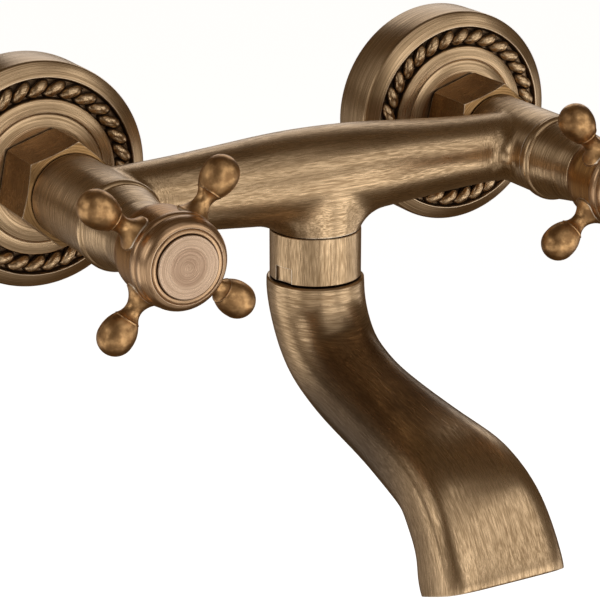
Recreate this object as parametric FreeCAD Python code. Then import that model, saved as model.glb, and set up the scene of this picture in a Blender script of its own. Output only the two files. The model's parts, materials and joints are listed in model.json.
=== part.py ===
"""Wall mounted bath faucet with two cross handles and a swivelling S-shaped spout.

Millimetres. X runs from the hot inlet to the cold inlet, the wall is the plane Y = 0 and the
faucet stands out towards -Y, Z is up. The origin lies on the wall, midway between the two inlet
pipes. Everything that turns about a valve axis is drawn as a profile of (forward, radius) points,
where forward is the distance out from the wall.
"""
import FreeCAD, Part

import math
import os

from FreeCAD import Vector

# ---- driving dimensions -------------------------------------------------------------------
INLET_CENTRES = 150.0        # the two wall pipes, and the two valve axes
ECCENTRIC_RISE = 8.0         # how far the eccentric unions lift the faucet above the pipes
BAR_FORWARD = 54.0           # wall to the axis of the crossbar and of the spout
FIT = 0.05                   # radial clearance of a thread or a running fit
SEAT_GAP = 0.02              # between two flat faces that slide on each other

HALF_INCH_THREAD = 10.48     # outer radius of a G1/2 thread
THREE_QUARTER_THREAD = 13.2  # outer radius of a G3/4 thread
UNION_NOSE = 29.0            # front end of the eccentric union
GASKET_THICKNESS = 2.0
NIPPLE_COLLAR = 34.8         # front face of the collar that the union nut pulls on

FLANGE_RADIUS = 35.4
FLANGE_DEPTH = 15.4
ROPE_RADIUS = 27.3           # centre line of the rope ring
ROPE_STRANDS = 31
GROOVE_FLOOR = 15.9          # the groove that the rope stands in
ROPE_SLANT = 36.0            # degrees from radial, clockwise as seen from the front

NUT_ACROSS_FLATS = 28.0
NUT_BACK = 20.9
NUT_FRONT = 41.0

TUBE_RADIUS = 12.8           # valve tubes of the body
TUBE_BACK = 41.5
TUBE_FRONT = 72.8
BAR_END_RADIUS = 11.0
BAR_MIDDLE_RADIUS = 14.3
BODY_BLEND = 6.0             # fillet where the crossbar meets a valve tube
OUTLET_BOSS_RADIUS = 13.9
OUTLET_BLEND = 16.0
OUTLET_FACE = -16.7          # underside of the outlet boss, below the bar axis

COLLAR_RADIUS = 14.16
COLLAR_TOP = -16.95
COLLAR_BOTTOM = -32.05
COLLAR_NOTCH = (6.6, 5.0, 1.1)      # spanner notch: width, height, depth
COLLAR_NOTCH_ANGLE = 196.0          # of the first notch about the spout axis, from +X

SEAT_BACK = 48.6             # the wall of the casting that carries the valve seal
SEAT_FACE = 50.4
CHAMBER_FRONT = 64.4         # where the valve chamber widens into its thread
DISC_JOINT = 55.2            # where the two ceramic discs meet
DISC_THICKNESS = 2.65        # of the fixed one
STEM_BACK = 57.6             # face of the stem that drives the moving disc
HOUSING_RADIUS = 9.6         # cartridge housing in front of its hexagon
HEXAGON_BACK = TUBE_FRONT + 0.4
HEXAGON_FRONT = 76.2
STEM_RADIUS = 4.0
STEM_END = 109.0
STEM_SEALS = (89.1, 93.5)    # forward distances of the two stem O-rings
SCREW_SEAT = 111.0

SLEEVE_FRONT = 94.8
HUB_BACK = 95.4
HUB_RADIUS = 13.05
RIM_RADIUS = 13.65
LEVER_FORWARD = 106.2        # wall to the plane of the four levers
LEVER_CROSS_ANGLE = 52.0     # first lever above horizontal on the hot side, mirrored on the cold
LEVERS = 4
LEVER_STUD = 2.5             # radius of the hole in the hub for the root of a lever
BULB_RADIUS = 5.2
BULB_CENTRE = 26.5           # from the valve axis
BUTTON_RADIUS = 9.0
BUTTON_SEAT = 116.4
BUTTON_FACE = 118.9

NECK_RADIUS = 12.2           # of the neck under the outlet boss
NECK_END = -27.0
TAIL_RADIUS = 8.6            # bore of the outlet, in which the tail of the spout turns
RETAINER_GROOVE = (-27.6, -29.6)     # top and bottom of the groove for the split ring
O_RING_CENTRES = (-20.5, -24.3)

SPOUT_TOP = -32.5
SPOUT_WALL = 2.0
SPOUT_SHOULDER = 0.45                # chamfer round the top edge
# Arcs (radius, turn in degrees) and straight runs (length, None) from the top to the mouth: a
# negative radius bends back towards straight down.
SPOUT_PATH = ((27.75, 69.8), (100.0, 12.1), (38.0, None), (-29.9, 58.6), (7.7, None))
# Share of the length, half thickness, half width and squareness of the section (2 is an
# ellipse): the spout leaves the swivel round and ends flat and wide.
SPOUT_SIZES = (
    (0.0, 15.1, 15.1, 2.0),
    (0.15, 14.65, 14.7, 2.0),
    (0.35, 13.6, 13.9, 2.1),
    (0.6, 12.8, 15.6, 2.5),
    (0.8, 12.2, 18.4, 3.2),
    (1.0, 11.9, 20.0, 4.0),
)
SPOUT_SECTIONS = 15
SECTION_POINTS = 24
TIP_RECESS = 3.5             # how far the flow straightener sits inside the mouth

FULL_TURN = 360.0
SIDES = (("left", -1.0), ("right", 1.0))
VALVE_AXIS = Vector(0, 1, 0)
ORIGIN = Vector(0, 0, 0)


# ---- drawing helpers ----------------------------------------------------------------------
def at(forward, radius):
    """A point of a valve-axis profile, drawn in the plane X = 0."""
    return Vector(0, -forward, radius)


def below(radius, height):
    """A point of a spout-axis profile, drawn in the plane Y = -BAR_FORWARD."""
    return Vector(radius, -BAR_FORWARD, height)


def outline(points, place):
    """Closed face through points. A step of two points is an arc: (middle, end)."""
    here = place(*points[0])
    start = here
    edges = []
    for step in points[1:]:
        if isinstance(step[0], tuple):
            there = place(*step[1])
            edges.append(Part.Arc(here, place(*step[0]), there).toShape())
        else:
            there = place(*step)
            edges.append(Part.makeLine(here, there))
        here = there
    edges.append(Part.makeLine(here, start))
    return Part.Face(Part.Wire(edges))


def turned(points):
    """Solid turned about the valve axis from (forward, radius) points."""
    return outline(points, at).revolve(ORIGIN, VALVE_AXIS, FULL_TURN)


def turned_upright(points):
    """Solid turned about the spout axis from (radius, height) points."""
    return outline(points, below).revolve(Vector(0, -BAR_FORWARD, 0), Vector(0, 0, 1), FULL_TURN)


def bar_along_valve(radius, back, front, height=0.0):
    """Cylinder along the valve axis between two forward distances."""
    return Part.makeCylinder(radius, front - back, Vector(0, -back, height), Vector(0, -1, 0))


def hexagon_along_valve(across_flats, back, front, turn):
    """Hexagonal prism along the valve axis; turn puts its first corner, in degrees from +X."""
    corner = across_flats / 2 / math.cos(math.radians(30))
    points = []
    for index in range(7):
        angle = math.radians(turn + 60 * index)
        points.append(Vector(corner * math.cos(angle), -back, corner * math.sin(angle)))
    face = Part.Face(Part.makePolygon(points))
    return face.extrude(Vector(0, back - front, 0))


def ring_of(section_radius, ring_radius, centre, axis):
    """A torus, such as an O-ring."""
    return Part.makeTorus(ring_radius, section_radius, centre, axis)


def to_side(shape, side):
    """Moves a piece drawn on the middle plane to the hot (-1) or the cold (+1) valve axis."""
    moved = shape.copy()
    moved.translate(Vector(side * INLET_CENTRES / 2, 0, 0))
    return moved


# ---- wall connection ----------------------------------------------------------------------
def eccentric_union():
    """Union from the wall pipe to the nut, its two ends on parallel axes."""
    pipe_end = -ECCENTRIC_RISE
    thread_length, collar_front, offset_front = 14.0, 5.0, 11.0
    collar_radius = 12.6
    pipe_bore, nose_bore = 7.5, 9.5

    def circle(radius, forward, height):
        edge = Part.makeCircle(radius, Vector(0, -forward, height), Vector(0, -1, 0))
        return Part.Wire(edge)

    body = bar_along_valve(HALF_INCH_THREAD, -thread_length, 0.0, pipe_end)
    body = body.fuse(bar_along_valve(collar_radius, 0.0, collar_front, pipe_end))
    offset = Part.makeLoft([circle(collar_radius, collar_front, pipe_end),
                            circle(THREE_QUARTER_THREAD, offset_front, 0.0)], True)
    body = body.fuse(offset)
    body = body.fuse(bar_along_valve(THREE_QUARTER_THREAD, offset_front, UNION_NOSE))
    bore = bar_along_valve(pipe_bore, -thread_length - 1, collar_front, pipe_end)
    bore = bore.fuse(Part.makeLoft([circle(pipe_bore, collar_front, pipe_end),
                                    circle(nose_bore, offset_front, 0.0)], True))
    bore = bore.fuse(bar_along_valve(nose_bore, offset_front, UNION_NOSE + 1))
    return body.cut(bore)


def flange_shell():
    """Deep cup with a grooved face and a stepped dome, turned in one piece."""
    bore = THREE_QUARTER_THREAD + FIT
    rim_inside = FLANGE_RADIUS - 1.8
    groove_outer, groove_inner = ROPE_RADIUS + 3.1, ROPE_RADIUS - 3.0
    return turned([
        (0.0, FLANGE_RADIUS),
        (FLANGE_DEPTH - 0.6, FLANGE_RADIUS),
        ((FLANGE_DEPTH - 0.1, FLANGE_RADIUS - 0.2), (FLANGE_DEPTH + 0.2, FLANGE_RADIUS - 0.8)),
        (18.0, groove_outer + 0.5),
        ((18.2, groove_outer + 0.2), (18.0, groove_outer)),
        (GROOVE_FLOOR + 0.4, groove_outer - 0.2),
        (GROOVE_FLOOR, groove_outer - 0.4),
        (GROOVE_FLOOR, groove_inner + 0.3),
        (GROOVE_FLOOR + 0.4, groove_inner + 0.1),
        (17.8, groove_inner),
        ((18.2, groove_inner - 0.25), (18.35, groove_inner - 0.7)),
        ((18.9, 22.3), (19.2, 20.3)),
        (18.8, 20.0),
        (19.2, 19.7),
        ((19.75, 18.6), (20.05, 17.0)),
        (20.3, 16.0),
        (20.3, bore),
        (16.0, bore),
        (16.0, bore + 2.2),
        (18.0, 17.4),
        (16.6, 22.6),
        (14.2, 23.6),
        (14.2, 31.2),
        (13.2, rim_inside),
        (0.0, rim_inside),
    ])


def rope_strand():
    """Front half of one slanted strand of the rope ring, at twelve o'clock."""
    half_length, half_width = 3.05, 2.5
    oval = Part.Ellipse(Vector(0, 0, half_length), Vector(half_width, 0, 0), ORIGIN)
    side = Part.ArcOfEllipse(oval, -math.pi, 0)
    face = Part.Face(Part.Wire([side.toShape(),
                                Part.makeLine(side.EndPoint, side.StartPoint)]))
    strand = face.revolve(ORIGIN, Vector(0, 0, 1), FULL_TURN / 2)
    strand.rotate(ORIGIN, Vector(0, 1, 0), ROPE_SLANT)
    strand.translate(Vector(0, -GROOVE_FLOOR + 0.15, ROPE_RADIUS))
    return strand


def flange():
    """Wall flange: the turned cup with the rope ring standing in its groove."""
    strand = rope_strand()
    strands = []
    for index in range(ROPE_STRANDS):
        one = strand.copy()
        one.rotate(ORIGIN, VALVE_AXIS, FULL_TURN / ROPE_STRANDS * index)
        strands.append(one)
    return flange_shell().multiFuse(strands)


def union_nut():
    """Hexagon nut that pulls the nipple onto the eccentric union."""
    throat, wall_back, chamfer_start = 11.2, NIPPLE_COLLAR + 0.1, NUT_FRONT - 1.4
    corner = NUT_ACROSS_FLATS / 2 / math.cos(math.radians(30))
    prism = hexagon_along_valve(NUT_ACROSS_FLATS, NUT_BACK, NUT_FRONT, 18.0)
    envelope = turned([
        (NUT_BACK, 0.0),
        (NUT_BACK, corner - 1.0),
        (NUT_BACK + 0.8, corner),
        (chamfer_start, corner),
        (NUT_FRONT, 13.2),
        (NUT_FRONT, 0.0),
    ])
    cavity = bar_along_valve(THREE_QUARTER_THREAD + FIT, NUT_BACK - 1, wall_back)
    hole = bar_along_valve(throat, wall_back - 1, NUT_FRONT + 1)
    return prism.common(envelope).cut(cavity).cut(hole)


def inlet_gasket():
    """Flat rubber washer between the union and the nipple."""
    front = UNION_NOSE + GASKET_THICKNESS
    return turned([(UNION_NOSE, 9.0), (UNION_NOSE, 12.8), (front, 12.8), (front, 9.0)])


def inlet_nipple():
    """Nipple screwed into the back of the body; its collar is held by the union nut."""
    back, front = UNION_NOSE + GASKET_THICKNESS, SEAT_BACK - 0.6
    collar, neck, thread, bore = 12.95, 11.1, 10.4, 8.0
    key_across_flats, key_depth = 17.0, 5.0
    blank = turned([
        (back, bore),
        (back, collar),
        (NIPPLE_COLLAR, collar),
        (NIPPLE_COLLAR, neck),
        (TUBE_BACK, neck),
        (TUBE_BACK, thread),
        (front - 0.4, thread),
        (front, thread - 0.4),
        (front, bore),
    ])
    return blank.cut(hexagon_along_valve(key_across_flats, back - 1, back + key_depth, 0.0))


# ---- body ---------------------------------------------------------------------------------
def crossbar():
    """Swelling bar between the valve tubes, turned about its own axis."""
    half = INLET_CENTRES / 2
    stations = ((-half, 11.0), (-57.0, BAR_END_RADIUS), (-42.0, 11.85), (-28.0, 12.95),
                (-14.0, 13.95), (0.0, BAR_MIDDLE_RADIUS), (14.0, 13.95), (28.0, 12.95),
                (42.0, 11.85), (57.0, BAR_END_RADIUS), (half, 11.0))
    curve = Part.BSplineCurve()
    curve.interpolate([Vector(x, -BAR_FORWARD, radius) for x, radius in stations])
    left, right = Vector(-half, -BAR_FORWARD, 0), Vector(half, -BAR_FORWARD, 0)
    edges = [curve.toShape(),
             Part.makeLine(curve.EndPoint, right),
             Part.makeLine(right, left),
             Part.makeLine(left, curve.StartPoint)]
    return Part.Face(Part.Wire(edges)).revolve(left, Vector(1, 0, 0), FULL_TURN)


def near(edge, centre, reach):
    """True where the middle of an edge lies within reach of a point."""
    box = edge.BoundBox
    return box.Center.distanceToPoint(centre) < reach and box.DiagonalLength > 8.0


def body():
    """One casting: two valve tubes, the crossbar and the outlet, with its waterways."""
    bar = crossbar()
    tubes = [to_side(bar_along_valve(TUBE_RADIUS, TUBE_BACK, TUBE_FRONT), side)
             for _, side in SIDES]
    boss = turned_upright([(0, 0), (OUTLET_BOSS_RADIUS, 0), (OUTLET_BOSS_RADIUS, OUTLET_FACE),
                           (0, OUTLET_FACE)])
    shell = bar.multiFuse(tubes + [boss]).removeSplitter()
    half = INLET_CENTRES / 2
    joints = [edge for edge in shell.Edges
              if near(edge, Vector(-half + TUBE_RADIUS, -BAR_FORWARD, 0), 3.0)
              or near(edge, Vector(half - TUBE_RADIUS, -BAR_FORWARD, 0), 3.0)]
    shell = shell.makeFillet(BODY_BLEND, joints)
    foot = [edge for edge in shell.Edges
            if near(edge, Vector(0, -BAR_FORWARD, -5), 7.0)
            and edge.BoundBox.XLength < 2.2 * OUTLET_BOSS_RADIUS
            and edge.BoundBox.ZMax < -1.0 and edge.BoundBox.ZLength > 1.0]
    shell = shell.makeFillet(OUTLET_BLEND, foot)
    neck = turned_upright([(0, OUTLET_FACE + 1), (NECK_RADIUS, OUTLET_FACE + 1),
                           (NECK_RADIUS, NECK_END + 0.4), (NECK_RADIUS - 0.4, NECK_END),
                           (0, NECK_END)])
    shell = shell.fuse(neck)
    return shell.cut(waterways())


def waterways():
    """Everything bored out of the casting."""
    seat_hole, chamber, gallery_radius, gallery_end = 6.0, 9.3, 6.0, 8.0
    outlet_radius, step = 8.0, -15.0
    cuts = []
    for _, side in SIDES:
        for radius, back, front in ((HALF_INCH_THREAD - 0.03, TUBE_BACK - 1, SEAT_BACK),
                                    (seat_hole, SEAT_BACK - 1, SEAT_FACE + 1),
                                    (chamber, SEAT_FACE, CHAMBER_FRONT + 0.1),
                                    (HALF_INCH_THREAD, CHAMBER_FRONT, TUBE_FRONT + 1)):
            cuts.append(to_side(bar_along_valve(radius, back, front), side))
    start = gallery_end - INLET_CENTRES / 2
    cuts.append(Part.makeCylinder(gallery_radius, -2 * start, Vector(start, -BAR_FORWARD, 0),
                                  Vector(1, 0, 0)))
    cuts.append(turned_upright([(0, 0), (outlet_radius, 0), (outlet_radius, step),
                                (TAIL_RADIUS, step), (TAIL_RADIUS, NECK_END - 1),
                                (0, NECK_END - 1)]))
    return cuts[0].multiFuse(cuts[1:])


# ---- valve --------------------------------------------------------------------------------
def valve_sleeve():
    """Tapering cover round the cartridge, with a bead where it meets the body."""
    back = TUBE_FRONT + 0.15
    return turned([
        (back, 12.15),
        (back, 12.75),
        ((back + 0.5, 13.2), (back + 1.9, 13.45)),
        ((back + 3.3, 13.2), (back + 3.8, 12.6)),
        (back + 4.2, 12.35),
        (back + 4.7, 12.5),
        ((83.5, 11.55), (89.0, 10.75)),
        (94.2, 10.5),
        ((94.65, 10.4), (SLEEVE_FRONT, 10.1)),
        (SLEEVE_FRONT, 8.9),
        (84.6, 8.9),
        (84.6, HOUSING_RADIUS + FIT),
        (HEXAGON_FRONT + 0.3, HOUSING_RADIUS + FIT),
        (HEXAGON_FRONT + 0.3, 12.15),
    ])


def cartridge_body():
    """Ceramic valve housing screwed into the body, with two outlet windows."""
    back, front, collar_back = 52.2, 98.0, 64.6
    barrel, cavity, thread, flange_radius, nose = 9.1, 7.6, 10.4, 12.0, 6.4
    housing = turned([
        (back, cavity),
        (back, barrel),
        (CHAMBER_FRONT, barrel),
        (collar_back, thread),
        (TUBE_FRONT, thread),
        (TUBE_FRONT, flange_radius),
        (HEXAGON_FRONT, flange_radius),
        (HEXAGON_FRONT, HOUSING_RADIUS),
        (84.4, HOUSING_RADIUS),
        (84.4, nose),
        (front - 0.4, nose),
        (front, nose - 0.4),
        (front, STEM_RADIUS + FIT),
        (62.0, STEM_RADIUS + FIT),
        (62.0, cavity),
    ])
    ring = turned([(HEXAGON_BACK, HOUSING_RADIUS), (HEXAGON_BACK, flange_radius + 1),
                   (HEXAGON_FRONT + 0.1, flange_radius + 1),
                   (HEXAGON_FRONT + 0.1, HOUSING_RADIUS)])
    hexagon = hexagon_along_valve(22.0, HEXAGON_BACK - 1, HEXAGON_FRONT + 1, 0.0)
    housing = housing.cut(ring.cut(hexagon))
    width, height, depth, window_front = 6.0, 3.2, 24.0, 60.6
    return housing.cut(Part.makeBox(depth, height, width,
                                    Vector(-depth / 2, -window_front, -width / 2)))


def cartridge_seal():
    """Rubber seat that presses on the wall of the body."""
    front = DISC_JOINT - DISC_THICKNESS
    return turned([(SEAT_FACE, 4.6), (SEAT_FACE, 7.4), (front, 7.4), (front, 4.6)])


def sector(radius, back, front, start, sweep):
    """Pie-shaped prism about the valve axis, for the ports of the ceramic discs."""
    wedge = bar_along_valve(radius, back, front)
    half = Part.makeBox(2 * radius, front - back + 2, 2 * radius,
                        Vector(-radius, -front - 1, 0))
    upper, lower = half.copy(), half.copy()
    upper.rotate(ORIGIN, VALVE_AXIS, -start)
    lower.rotate(ORIGIN, VALVE_AXIS, -(start + sweep - 180))
    return wedge.common(upper).common(lower)


def ceramic_disc(radius, back, front, turn):
    """Disc with two opposite ports; a quarter turn of one disc closes the pair."""
    disc = bar_along_valve(radius, back, front)
    web_radius, port_radius, port_sweep, port_start = 1.6, 5.4, 74.0, 8.0
    web = bar_along_valve(web_radius, back - 1, front + 1)
    for start in (turn + port_start, turn + port_start + FULL_TURN / 2):
        port = sector(port_radius, back - 1, front + 1, start, port_sweep).cut(web)
        disc = disc.cut(port)
    return disc


def fixed_disc():
    """Lower ceramic disc, keyed to the housing."""
    return ceramic_disc(7.5, DISC_JOINT - DISC_THICKNESS, DISC_JOINT, 0.0)


def moving_disc():
    """Upper ceramic disc, turned by the stem."""
    return ceramic_disc(7.2, DISC_JOINT + SEAT_GAP, STEM_BACK, 90.0)


def cartridge_stem():
    """Brass stem with the driver for the moving disc and a splined head for the handle."""
    driver_radius, driver_front, groove_radius, groove_width = 7.2, 61.8, 3.1, 2.2
    flutes, flute_radius, flute_centre, flute_start = 12, 0.5, 4.2, 99.0
    tapping, tapping_start = 1.95, 97.0
    profile = [(STEM_BACK, 0.0), (STEM_BACK, driver_radius), (driver_front, driver_radius),
               (driver_front, STEM_RADIUS)]
    for centre in STEM_SEALS:
        back, front = centre - groove_width / 2, centre + groove_width / 2
        profile += [(back, STEM_RADIUS), (back, groove_radius), (front, groove_radius),
                    (front, STEM_RADIUS)]
    profile += [(STEM_END - 0.4, STEM_RADIUS), (STEM_END, STEM_RADIUS - 0.4), (STEM_END, 0.0)]
    stem = turned(profile).cut(bar_along_valve(tapping, tapping_start, STEM_END + 1))
    groove = Part.makeCylinder(flute_radius, STEM_END - flute_start + 1,
                               Vector(flute_centre, -flute_start, 0), Vector(0, -1, 0))
    for index in range(flutes):
        flute = groove.copy()
        flute.rotate(ORIGIN, VALVE_AXIS, FULL_TURN / flutes * index)
        stem = stem.cut(flute)
    return stem


def stem_o_rings():
    """Two O-rings in the grooves of the stem."""
    return Part.makeCompound([ring_of(0.43, 3.56, Vector(0, -forward, 0), VALVE_AXIS)
                              for forward in STEM_SEALS])


# ---- handle -------------------------------------------------------------------------------
def lever_angle(side, index):
    """Direction of a lever about the valve axis, in degrees from +X towards +Z."""
    first = LEVER_CROSS_ANGLE if side < 0 else 180.0 - LEVER_CROSS_ANGLE
    return first + FULL_TURN / LEVERS * index


def radial(shape, angle):
    """Turns a piece drawn along +Z at the lever plane to its angle."""
    turned_piece = shape.copy()
    turned_piece.rotate(ORIGIN, Vector(0, -1, 0), angle - 90.0)
    return turned_piece


def stud(radius, inner, outer):
    """Cylinder along +Z in the lever plane."""
    return Part.makeCylinder(radius, outer - inner, Vector(0, -LEVER_FORWARD, inner))


def hub_blank():
    """Handle boss with its rim, broached for the stem, before its levers' holes."""
    rim_back, rim_front, broach_front, broach_back = 109.9, 112.7, STEM_END + 0.3, 100.6
    pocket, screw_hole, back_pocket = 6.6, 2.2, 8.3
    groove_wall = BUTTON_RADIUS + 0.15
    return turned([
        (HUB_BACK, back_pocket),
        (HUB_BACK, 10.4),
        ((HUB_BACK + 0.1, 10.9), (HUB_BACK + 0.6, 11.3)),
        ((98.4, 12.5), (101.4, HUB_RADIUS)),
        (rim_back - 0.5, HUB_RADIUS),
        (rim_back, HUB_RADIUS + 0.2),
        ((rim_back + 0.5, RIM_RADIUS - 0.1), (rim_back + 1.5, RIM_RADIUS)),
        ((rim_front - 0.5, RIM_RADIUS - 0.1), (rim_front, 13.2)),
        (rim_front + 0.2, 12.95),
        (rim_front + 0.5, 13.2),
        ((114.9, 13.3), (116.6, 12.6)),
        ((117.6, 11.8), (118.1, 10.75)),
        (117.8, 10.5),
        (118.2, 10.2),
        ((118.3, 9.9), (118.1, groove_wall)),
        (BUTTON_SEAT, groove_wall),
        (BUTTON_SEAT, pocket),
        (SCREW_SEAT, pocket),
        (SCREW_SEAT, screw_hole),
        (broach_front, screw_hole),
        (broach_front, STEM_RADIUS + FIT),
        (broach_back, STEM_RADIUS + FIT),
        (broach_back, back_pocket),
    ])


def handle_hub(hub, side):
    """Hub with a round hole for the stud of each lever."""
    socket = stud(LEVER_STUD, 7.6, 14.0)
    for index in range(LEVERS):
        hub = hub.cut(radial(socket, lever_angle(side, index)))
    return hub


def lever(hub):
    """Turned lever along +Z: flared foot, thin neck, ridge and round bulb, with its stud."""
    root, stud_end, filling = 11.6, 8.6, HUB_RADIUS - 1.0
    profile = [
        (root, 0.0),
        (root, 5.2),
        (12.9, 5.1),
        ((14.4, 3.55), (16.4, 2.55)),
        ((18.3, 2.5), (20.25, 3.45)),
        (20.45, 3.75),
        (20.8, 3.75),
        ((23.3, 4.88), (BULB_CENTRE, BULB_RADIUS)),
        ((BULB_CENTRE + BULB_RADIUS * math.sin(math.pi / 4),
          BULB_RADIUS * math.cos(math.pi / 4)), (BULB_CENTRE + BULB_RADIUS, 0.0)),
    ]

    def along(distance, radius):
        return Vector(radius, -LEVER_FORWARD, distance)

    blank = outline(profile, along).revolve(Vector(0, -LEVER_FORWARD, 0), Vector(0, 0, 1),
                                            FULL_TURN)
    inside = bar_along_valve(filling, LEVER_FORWARD - 8.0, LEVER_FORWARD + 8.0)
    return blank.cut(hub).cut(inside).fuse(stud(LEVER_STUD - FIT, stud_end, root + 2.4))


def index_button():
    """Round cap pressed into the front of the hub."""
    plug_back, plug, shoulder = 113.8, 6.5, BUTTON_SEAT + FIT
    return turned([
        (plug_back, 0.0),
        (plug_back, plug - 0.3),
        (plug_back + 0.3, plug),
        (shoulder, plug),
        (shoulder, BUTTON_RADIUS),
        (BUTTON_FACE - 0.35, BUTTON_RADIUS),
        ((BUTTON_FACE - 0.1, BUTTON_RADIUS - 0.1), (BUTTON_FACE, BUTTON_RADIUS - 0.35)),
        (BUTTON_FACE, 0.0),
    ])


def handle_screw():
    """Screw that holds the handle on the stem, under the button."""
    tip, head_back, head_front = 99.0, SCREW_SEAT + SEAT_GAP, 113.2
    shank, head, key_across_flats, key_depth = 1.9, 3.6, 2.5, 1.4
    screw = turned([
        (tip, 0.0),
        (tip, shank),
        (head_back, shank),
        (head_back, head),
        (head_front - 0.4, head),
        (head_front, head - 0.4),
        (head_front, 0.0),
    ])
    return screw.cut(hexagon_along_valve(key_across_flats, head_front - key_depth,
                                         head_front + 1, 0.0))


# ---- spout --------------------------------------------------------------------------------
def collar_nut():
    """Nut under the outlet that carries the swivelling spout."""
    bore, throat, floor, chamfer = NECK_RADIUS + FIT, 9.4, COLLAR_BOTTOM + 1.9, 0.25
    blank = turned_upright([
        (bore, COLLAR_TOP),
        (COLLAR_RADIUS - chamfer, COLLAR_TOP),
        (COLLAR_RADIUS, COLLAR_TOP - chamfer),
        (COLLAR_RADIUS, COLLAR_BOTTOM + chamfer),
        (COLLAR_RADIUS - chamfer, COLLAR_BOTTOM),
        (throat, COLLAR_BOTTOM),
        (throat, floor),
        (bore, floor),
    ])
    width, height, depth = COLLAR_NOTCH
    notch = Part.makeBox(2 * depth, width, height + 1,
                         Vector(COLLAR_RADIUS - depth, -width / 2 - BAR_FORWARD,
                                COLLAR_BOTTOM - 1))
    centre = Vector(0, -BAR_FORWARD, 0)
    for turn in (COLLAR_NOTCH_ANGLE, COLLAR_NOTCH_ANGLE + 180.0):
        slot = notch.copy()
        slot.rotate(centre, Vector(0, 0, 1), turn)
        blank = blank.cut(slot)
    return blank


def spout_steps():
    """Length and curvature of each arc and straight run of the centre line."""
    steps = []
    for size, turn in SPOUT_PATH:
        if turn is None:
            steps.append((size, 0.0))
        else:
            steps.append((math.radians(turn) * abs(size), 1.0 / size))
    return steps


def spout_length():
    """Length of the centre line of the spout."""
    return sum(length for length, _ in spout_steps())


def spout_point(travel):
    """Forward distance, height and lean from straight down, at a distance along the spout."""
    forward, height, lean = BAR_FORWARD, SPOUT_TOP, 0.0
    for length, curvature in spout_steps():
        step = min(travel, length)
        travel -= step
        after = lean + step * curvature
        if curvature:
            forward += (math.cos(lean) - math.cos(after)) / curvature
            height -= (math.sin(after) - math.sin(lean)) / curvature
        else:
            forward += step * math.sin(lean)
            height -= step * math.cos(lean)
        lean = after
    return forward, height, lean


def section(share, inset):
    """Closed smooth section of the spout, square to its centre line."""
    forward, height, lean = spout_point(share * spout_length())
    sizes = Part.BSplineCurve()
    sizes.interpolate(Points=[Vector(*row[1:]) for row in SPOUT_SIZES],
                      Parameters=[row[0] for row in SPOUT_SIZES])
    half_thickness, half_width, squareness = sizes.value(share)
    power = 2.0 / squareness
    points = []
    for index in range(SECTION_POINTS):
        turn = 2 * math.pi * index / SECTION_POINTS
        across = math.copysign(abs(math.cos(turn)) ** power, math.cos(turn))
        rise = math.copysign(abs(math.sin(turn)) ** power, math.sin(turn))
        across *= half_width - inset
        rise *= half_thickness - inset
        points.append(Vector(across, -forward - rise * math.cos(lean),
                             height + rise * math.sin(lean)))
    curve = Part.BSplineCurve()
    curve.interpolate(Points=points, PeriodicFlag=True,
                      Parameters=[float(index) for index in range(SECTION_POINTS + 1)])
    return Part.Wire(curve.toShape())


def spout_loft(inset, start=0.0, end=1.0, count=SPOUT_SECTIONS):
    """Solid inside the spout surface, pulled in by inset, between two shares of its length."""
    shares = [start + (end - start) * index / (count - 1) for index in range(count)]
    return Part.makeLoft([section(share, inset) for share in shares], True, False)


def tail_profile():
    """Half section of the swivel tail: a seat for each O-ring and for the split ring."""
    running, groove, neck, foot = TAIL_RADIUS - FIT, 7.2, 7.8, 8.9
    top, half_groove = -17.4, 1.1
    profile = [(0, top), (running - 0.4, top), (running, top - 0.4)]
    for centre in O_RING_CENTRES:
        profile += [(running, centre + half_groove), (groove, centre + half_groove),
                    (groove, centre - half_groove), (running, centre - half_groove)]
    upper, lower = RETAINER_GROOVE
    return profile + [(running, upper), (neck, upper), (neck, lower), (foot, lower),
                      (foot, SPOUT_TOP - 0.5), (0, SPOUT_TOP - 0.5)]


def spout():
    """Hollow cast spout with the swivel tail that turns in the body."""
    top_radius = SPOUT_SIZES[0][1]
    roof, waterway = SPOUT_TOP - 3.0, 6.0
    outer = spout_loft(0.0)
    rim = [edge for edge in outer.Edges if edge.BoundBox.ZMin > SPOUT_TOP - 0.1]
    shell = outer.makeChamfer(SPOUT_SHOULDER, rim).cut(spout_loft(SPOUT_WALL))
    cap = turned_upright([(0, SPOUT_TOP), (top_radius - 0.8, SPOUT_TOP),
                          (top_radius - 1.3, roof), (0, roof)])
    tail = turned_upright(tail_profile())
    bore = turned_upright([(0, OUTLET_FACE), (waterway, OUTLET_FACE), (waterway, roof - 1),
                           (0, roof - 1)])
    return shell.multiFuse([cap, tail]).cut(bore)


def spout_o_rings():
    """Two O-rings that seal the tail of the spout in the body."""
    return Part.makeCompound([ring_of(0.66, 7.9, Vector(0, -BAR_FORWARD, z), Vector(0, 0, 1))
                              for z in O_RING_CENTRES])


def split_ring():
    """Open ring in the groove of the tail; the collar nut holds it up."""
    inner, outer, gap = 7.85, 11.7, 2.4
    top, bottom = RETAINER_GROOVE[0] - 0.1, RETAINER_GROOVE[1] + 0.1
    ring = turned_upright([(inner, top), (outer, top), (outer, bottom), (inner, bottom)])
    return ring.cut(Part.makeBox(2 * outer, gap, 2 * (top - bottom),
                                 Vector(0, -BAR_FORWARD - gap / 2, bottom - 1)))


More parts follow.
